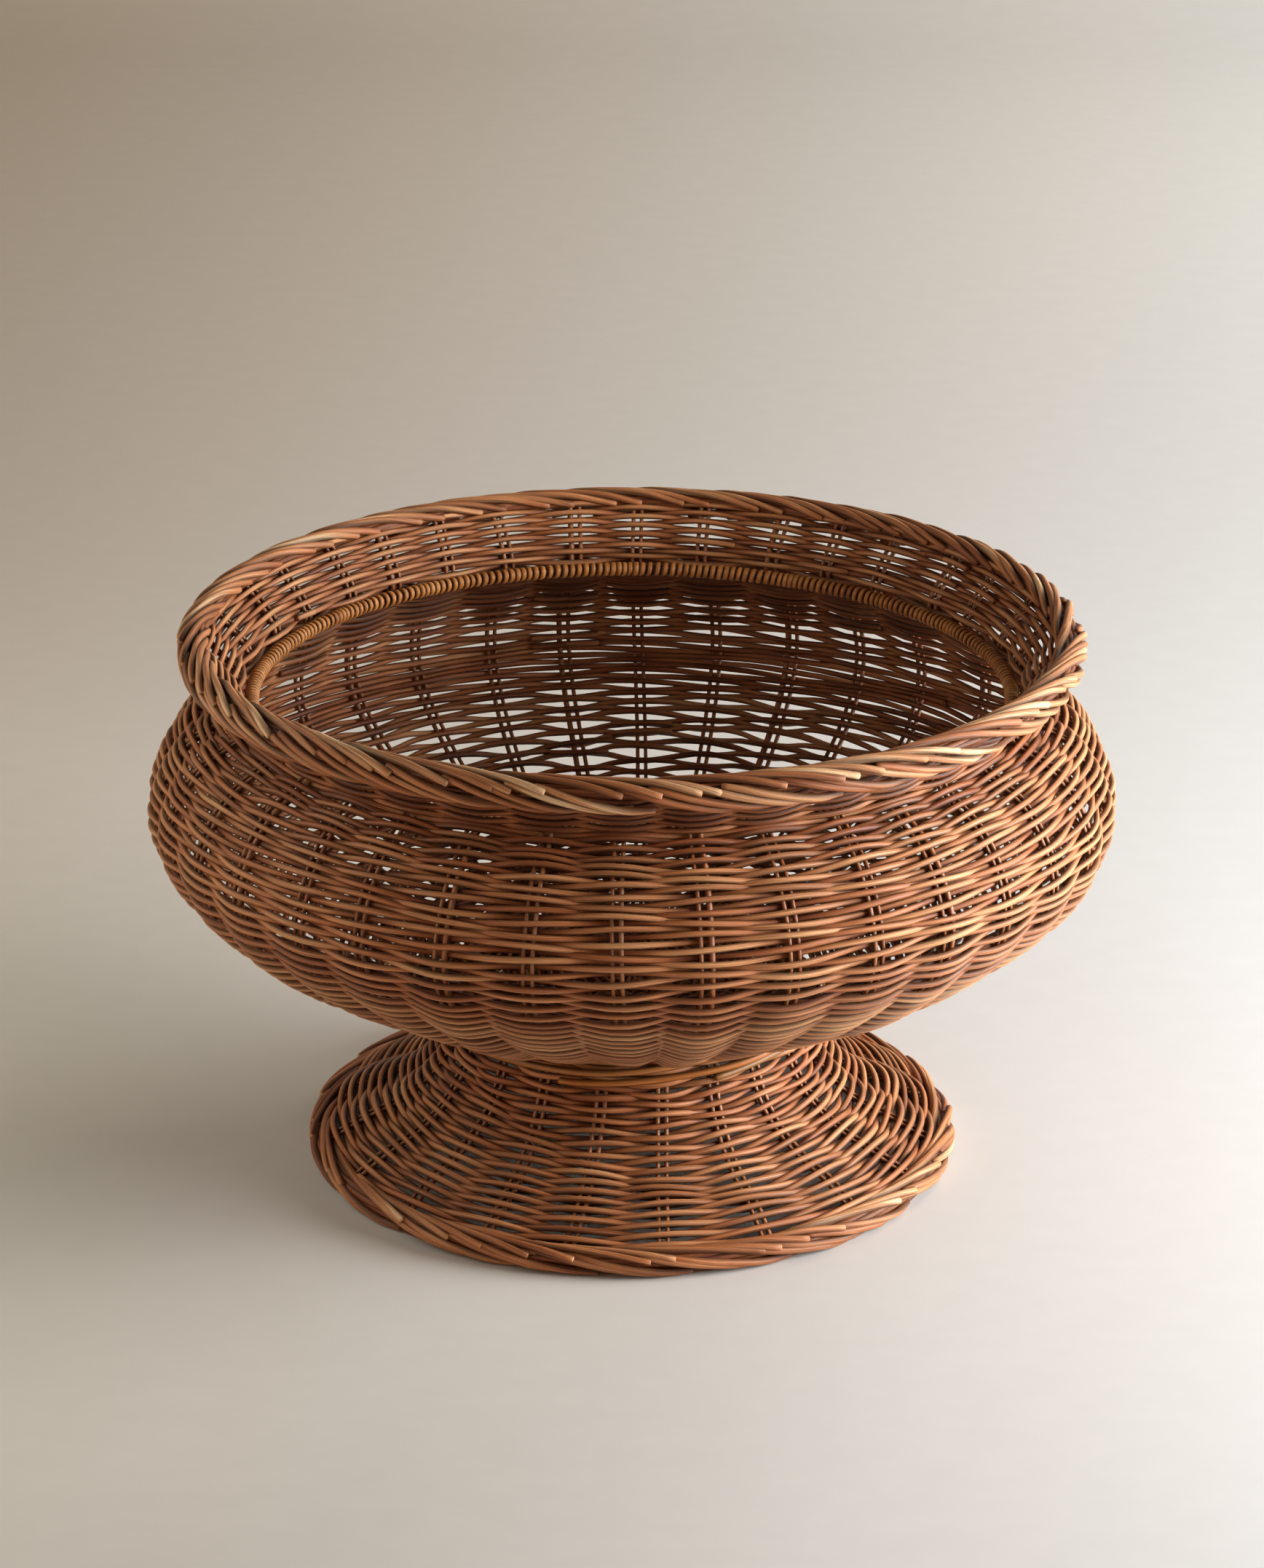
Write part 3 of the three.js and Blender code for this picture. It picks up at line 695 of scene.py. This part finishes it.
def bind_neck():
    """The hoop at the neck, and flat cane wound round it in close turns."""
    hoop = Strands()
    ring = turned(HOOP_RADIUS, circle(240), NECK_HEIGHT)
    hoop.add(ring, HOOP_CORE_RADIUS, UP, 0.0, sides=10, closed=True)
    hoop.build("neck_hoop_core", woven, ["neck_hoop"], "rattan_rod")

    wrap = Strands()
    knots = np.sort(rng.uniform(0, WRAP_TURNS, WRAP_KNOTS))
    turns = np.arange(WRAP_TURNS * WRAP_STEPS) / WRAP_STEPS
    azimuth = (turns + wander(9, 0.25)(turns)) / WRAP_TURNS * TAU + WRAP_LEAN * np.cos(turns * TAU)
    # The cane stands out a little more where it is knotted in
    knotted = np.exp(-(((turns[:, None] - knots[None, :]) / 0.9) ** 2)).sum(axis=1)
    lift = CANE_LIFT + KNOT_LIFT * knotted + wander(0.9, 0.07)(turns)
    radial = turned(1, azimuth, 0)
    outward = radial * np.cos(turns * TAU)[:, None] + UP * np.sin(turns * TAU)[:, None]
    points = radial * HOOP_RADIUS + UP * NECK_HEIGHT + outward * lift[:, None]
    shade = np.clip(0.5 + wander(14, 0.2)(turns) + wander(3, 0.12)(turns), 0, 1)
    radius = CANE_RADIUS * (1 + wander(2, 0.06)(turns))
    wrap.add(points, radius, outward, shade, flat=CANE_FLAT)
    wrap.build("neck_wrap_cane", cane, ["neck_wrap"], "wrapping_cane")


# Plaited borders

class Border:
    """A border of stakes bent over: each lies slanting over the top and down the outer side."""

    POINTS = 26  # of a strand
    PAIR_GAP = 3.7  # round the border, from one strand of a pair to the other, in thicknesses
    OVERLAP = 0.12  # of the pair below with the pair above, as a share of its length
    OVER_LAYERS = (-1.4, 0.2)  # at the start and in the middle
    DOWN_LAYERS = (-1.5, 0.25, -1.6)
    CORE_STRAND_RADIUS = 1.7

    def __init__(self, radius, height, half, count, turn):
        self.radius, self.height, self.half, self.count, self.turn = radius, height, half, count, turn
        self.strands = Strands()

    def section(self, azimuth, angle, layer):
        """A point at an angle round the section, a layer above its face, and the way out there."""
        r = self.radius + np.cos(angle) * (self.half[0] + layer)
        z = self.height + np.sin(angle) * (self.half[1] + layer)
        return turned(r, azimuth, z), turned(np.cos(angle), azimuth, np.sin(angle))

    def lay(self, begin, length, angles, layers, drop, shade, cut):
        """One strand over part of the way round, from one angle round the section to another and
        through three layers above or under its face. It ends lower than those by the drop."""
        part = np.linspace(0, 1, self.POINTS)
        bent = part + 0.06 * np.sin(TAU * part)
        angle = angles[0] + (angles[1] - angles[0]) * bent + rng.normal(0, 0.06)
        azimuth = begin + part * length / self.radius * rng.normal(1, 0.05)
        # Three levels, smoothed so that the strand bends softly from one to the next
        layer = np.interp(part, [0, 0.25, 0.7, 1], [layers[0], layers[1], layers[1], layers[2]])
        layer = np.convolve(np.pad(layer, 3, "edge"), np.ones(7) / 7, "valid") + wander(0.6, 0.15)(part)
        points, outward = self.section(azimuth, angle, layer)
        points[:, 2] -= drop * smooth_step(part, 0, 0.9)
        radius = BORDER_STRAND / 2 * rng.normal(1, 0.05) * (1 + wander(0.6, 0.03)(part))
        # Painted shade: darker where the strand lies deeper under the border's face, paler where it lies on
        # top
        shade = np.clip(shade + wander(0.7, 0.08)(part) + 0.16 * layer, 0, 1)
        self.strands.add(points, radius, outward, shade, sides=10, cut=cut)

    def plait(self, over, down, drop, shade):
        """Pairs that come from the inner side over the top and end there, cut off blunt, and
        pairs that start under those ends and go down the outer side. Each is given as a length
        round the border and two angles."""
        step = TAU / self.count
        for k in range(self.count):
            begin = FRONT + self.turn + k * step + rng.normal(0, 0.09) * step
            pair_shade = random_shade(shade, 0.1, 0.35, 0.95)
            for leg in (0, 1):
                start = begin + leg * BORDER_STRAND * self.PAIR_GAP / self.radius
                own_shade = float(np.clip(pair_shade + rng.normal(0, 0.08), 0.1, 0.9))
                layers = (*self.OVER_LAYERS, 0.4 + 0.4 * leg + rng.normal(0, 0.2))
                self.lay(start, over[0] * rng.normal(1, 0.04), over[1], layers, 0.0, own_shade, True)
                start = start + (over[0] - down[0] * self.OVERLAP) / self.radius
                self.lay(start, down[0], down[1], self.DOWN_LAYERS, drop, own_shade - 0.03, False)

    def core(self, count, depth, twist):
        """Strands that fill the middle, at a depth under the face. They are dark: painted shade in the gaps
        between the strands above.
        """
        azimuth = circle(160)
        for k in range(count):
            points, outward = self.section(azimuth, TAU * k / count + twist * azimuth, -depth)
            # Dark, as painted shade in the gaps
            shade = float(rng.uniform(0.0, 0.2))
            self.strands.add(points, self.CORE_STRAND_RADIUS, outward, shade, closed=True)


def degrees(*angles):
    return tuple(math.radians(angle) for angle in angles)


def plait_rim():
    rim = Border(RIM_RADIUS, RIM_HEIGHT, RIM_HALF, STAKES, STAKES_TURN)
    rim.plait((69, degrees(178, 8)), (50, degrees(42, -72)), drop=4.5, shade=0.7)
    rim.core(8, depth=3.0, twist=3)
    rim.strands.build("rim_border_plait", plait, ["rim_border"], "plaited_rattan")


def plait_foot_border():
    """The foot's border, with one strand under the plait that lies on the floor."""
    border = Border(FOOT_RIM_RADIUS, FOOT_RIM_HEIGHT, FOOT_RIM_HALF, FOOT_STAKES, FOOT_TURN)
    border.plait((78, degrees(172, 22)), (60, degrees(52, -58)), drop=2.5, shade=0.54)
    border.core(7, depth=2.2, twist=2)
    sole = turned(SOLE_RADIUS, circle(160), SOLE_HEIGHT)
    border.strands.add(sole, SOLE_STRAND_RADIUS, UP, 0.3, sides=10, closed=True)
    border.strands.build("foot_border_plait", plait, ["foot_border"], "plaited_rattan")


# Foot and waist

def weave_foot():
    """The foot's weavers, and its stakes in pairs."""
    wall = Wall(FOOT_LINE, FOOT_TURN, FOOT_STAKES, stray_degrees=1.6)
    foot = Weave(wall, 1.5, wall.length - 0.5, FOOT_PITCH, sway=0.5, weaver=FOOT_WEAVER)
    # The foot's weavers are darker than the bowl's, as painted shade under the bowl
    for strands in foot.weave(1, lambda: weaver_shade(0.37), longer=1.6):
        strands.build("foot_weave_1", woven, ["foot_weave"], "woven_rattan")
    stakes = Strands()
    for k in range(FOOT_STAKES):
        for side in (-1, 1):
            points, outward = wall.stake(k, side * STAKE_GAP / 2, low=-1.0, high=wall.length, steps=40)
            stakes.add(points, STAKE / 2, outward, float(rng.uniform(0.1, 0.45)))
    stakes.build("foot_stakes_pairs", rods, ["foot_stakes"], "rattan_rod")


def tie_waist():
    """A few thicker strands, each part of the way round and climbing."""
    waist = Strands()
    for k in range(WAIST_STRANDS):
        part = np.linspace(0, 1, 60)
        azimuth = (k + rng.normal(0, 0.08)) * TAU / WAIST_STRANDS + part * WAIST_RUN
        z = WAIST_HEIGHT + WAIST_RISE * part + np.sin(TAU * part + k)
        r = WAIST_RADIUS + 1.3 * np.sin(TAU * (part * 2.5 + 0.3 * k))
        points, outward = turned(r, azimuth, z), turned(1, azimuth, 0)
        waist.add(points, WAIST_STRAND_RADIUS, outward, float(rng.uniform(0.0, 0.5)))
    waist.build("waist_strands", olive, ["waist_ring"], "rattan_rod")


# Base of the bowl

def base_height(radius):
    return BASE_HEIGHT + BASE_RISE * (1 - (radius / BASE_RADIUS) ** 2)


def weave_base():
    """Crossed sticks, and weaving round the spokes that they spread into."""
    base = Strands()
    for k in range(SPOKES):
        r = np.linspace(SPOKE_START, SPOKE_END, 24)
        points = turned(r, FRONT + (k + 0.5) * TAU / SPOKES, base_height(r))
        base.add(points, SPOKE_RADIUS, UP, float(rng.uniform(0.3, 0.7)))
    for way in (0, 1):
        for k in range(STICKS):
            along = np.linspace(-STICK_HALF, STICK_HALF, 12)
            across = np.full(12, (k - (STICKS - 1) / 2) * STICK_GAP)
            z = base_height(np.hypot(along, across)) + (SPOKE_RADIUS if way else -SPOKE_RADIUS)
            points = np.column_stack([along, across, z] if way else [across, along, z])
            base.add(points, STICK_RADIUS, UP, float(rng.uniform(0.3, 0.7)))
    spokes = np.arange(SPOKES * 5) / 5  # a weaver has five points from one spoke to the next
    azimuth = FRONT + (spokes + 0.5) * TAU / SPOKES
    for number, row in enumerate(BASE_ROWS):
        lift = np.cos(math.pi * (spokes + number)) * BASE_SWING
        r = row + wander(30, 0.15)(azimuth * row)
        points = turned(r, azimuth, base_height(r) + lift)
        base.add(points, BASE_WEAVER_RADIUS, UP, weaver_shade(), closed=True)
    base.build("base_weave", woven, ["base_disc"], "woven_rattan")


weave_bowl_and_collar()
stand_bowl_rods()
bind_neck()
plait_rim()
plait_foot_border()
weave_foot()
tie_waist()
weave_base()


# Floor and backdrop

# The floor's colour on the left and on the right. The change between is painted light: darker and warmer on
# the left, away from the lamps, and paler on the right.
FLOOR_LEFT_SHADED = (0.6, 0.535, 0.46)
FLOOR_RIGHT_LIT = (0.645, 0.675, 0.72)
FLOOR_FRONT = -12.0
FLOOR_BACK = 2.2  # where it starts to curve up
FLOOR_SIDE = 10.0
CURVE_RADIUS = 1.2
WALL_HEIGHT = 5.0


def paper(name, left, right, roughness):
    """Paper that runs from one colour on the left to another on the right, with a faint grain. The change
    across is painted light and shade.
    """
    material, shader, bsdf = new_material(name)
    x = shader.axis("Object", "X")
    across = shader.spread(x, -0.75, 0.75, 0, 1, interpolation_type="SMOOTHSTEP")
    noise = shader.node("ShaderNodeTexNoise", {"Scale": 900, "Detail": 2}).outputs["Fac"]
    # Painted light and shade across the floor, from left to right
    tone = shader.ramp(across, [(0, left), (1, right)])
    colour = shader.scale(tone, shader.spread(noise, 0, 1, 0.97, 1.03))
    shader.fill(bsdf, {"Base Color": colour, "Roughness": roughness, "Specular IOR Level": 0.15})
    return material


def sweep_backdrop():
    """A floor that curves up into a wall far behind."""
    profile = [(FLOOR_FRONT, 0.0), (FLOOR_BACK, 0.0)]
    for angle in np.linspace(0.1, math.pi / 2, 14):
        back = FLOOR_BACK + CURVE_RADIUS * math.sin(angle)
        profile.append((back, CURVE_RADIUS - CURVE_RADIUS * math.cos(angle)))
    profile.append((FLOOR_BACK + CURVE_RADIUS, WALL_HEIGHT))
    points = [(x, y, z) for y, z in profile for x in (-FLOOR_SIDE, FLOOR_SIDE)]
    faces = [(2 * k, 2 * k + 1, 2 * k + 3, 2 * k + 2) for k in range(len(profile) - 1)]
    mesh = bpy.data.meshes.new("floor")
    mesh.from_pydata(points, [], faces)
    mesh.polygons.foreach_set("use_smooth", np.ones(len(faces), bool))
    mesh.materials.append(paper("floor_paper", FLOOR_LEFT_SHADED, FLOOR_RIGHT_LIT, 0.8))
    floor = bpy.data.objects.new("floor", mesh)
    bpy.context.scene.collection.objects.link(floor)


sweep_backdrop()


# Light

def area(name, place, target, size, power, colour):
    """A rectangular lamp at a place, turned to a target, with its power in watts."""
    light = bpy.data.lights.new(name, "AREA")
    light.shape = "RECTANGLE"
    light.size, light.size_y = size
    light.energy = power
    light.color = colour
    lamp = bpy.data.objects.new(name, light)
    lamp.location = place
    lamp.rotation_euler = (Vector(target) - Vector(place)).to_track_quat("-Z", "Y").to_euler()
    bpy.context.scene.collection.objects.link(lamp)


def room(colour, level, dark_from):
    """Light from all round, full up to the horizon and fading to none overhead, where the
    direction's height is dark_from."""
    world = bpy.data.worlds.new("studio")
    bpy.context.scene.world = world
    world.use_nodes = True
    shader = Shader(world.node_tree)
    strength = shader.spread(shader.axis("Generated", "Z"), 0.0, dark_from, level, 0.0)
    shader.fill(world.node_tree.nodes["Background"], {"Color": (*colour, 1), "Strength": strength})


# Two soft keys from the right, the lower one cooler, for the basket and the floor there
area("key", (1.3, -0.2, 0.5), (0, 0, 0.13), (0.9, 0.7), 37, (1.0, 0.95, 0.89))
area("low_key", (1.6, -0.1, 0.3), (0, 0, 0.13), (1.0, 0.5), 22, (0.75, 0.9, 1.0))
# One for the floor and the backdrop behind, on the right
area("far", (1.5, 1.6, 1.3), (1.15, 2.0, 0.0), (1.0, 1.0), 33, (1.0, 0.94, 0.8))
# A weak warm fill from the left, and a small pale one over the floor there
area("fill", (-1.9, -0.8, 0.42), (0, 0, 0.12), (1.8, 0.6), 4, (1.0, 0.6, 0.4))
area("card", (-0.62, -0.05, 0.4), (-0.25, 0, 0), (0.8, 0.4), 1.6, (0.95, 1.0, 0.88))
room((1.0, 0.70, 0.50), level=0.68, dark_from=0.8)


# Camera, as fitted to the photograph

BELLY = 0.215  # the basket's radius, in which the camera's place is measured
CAMERA_AWAY = 9.842 * BELLY
CAMERA_HEIGHT = 4.599 * BELLY
CAMERA_TILT = 21.09  # degrees down
LENS = 117.0

camera_data = bpy.data.cameras.new("camera")
camera_data.lens = LENS
camera_data.sensor_width = 36
camera_data.sensor_fit = "AUTO"
camera_data.clip_start, camera_data.clip_end = 0.05, 50
camera = bpy.data.objects.new("camera", camera_data)
camera.location = (0.0, -CAMERA_AWAY, CAMERA_HEIGHT)
camera.rotation_euler = (math.radians(90 - CAMERA_TILT), 0, 0)
bpy.context.scene.collection.objects.link(camera)
bpy.context.scene.camera = camera
bpy.context.scene.view_settings.view_transform = "Standard"
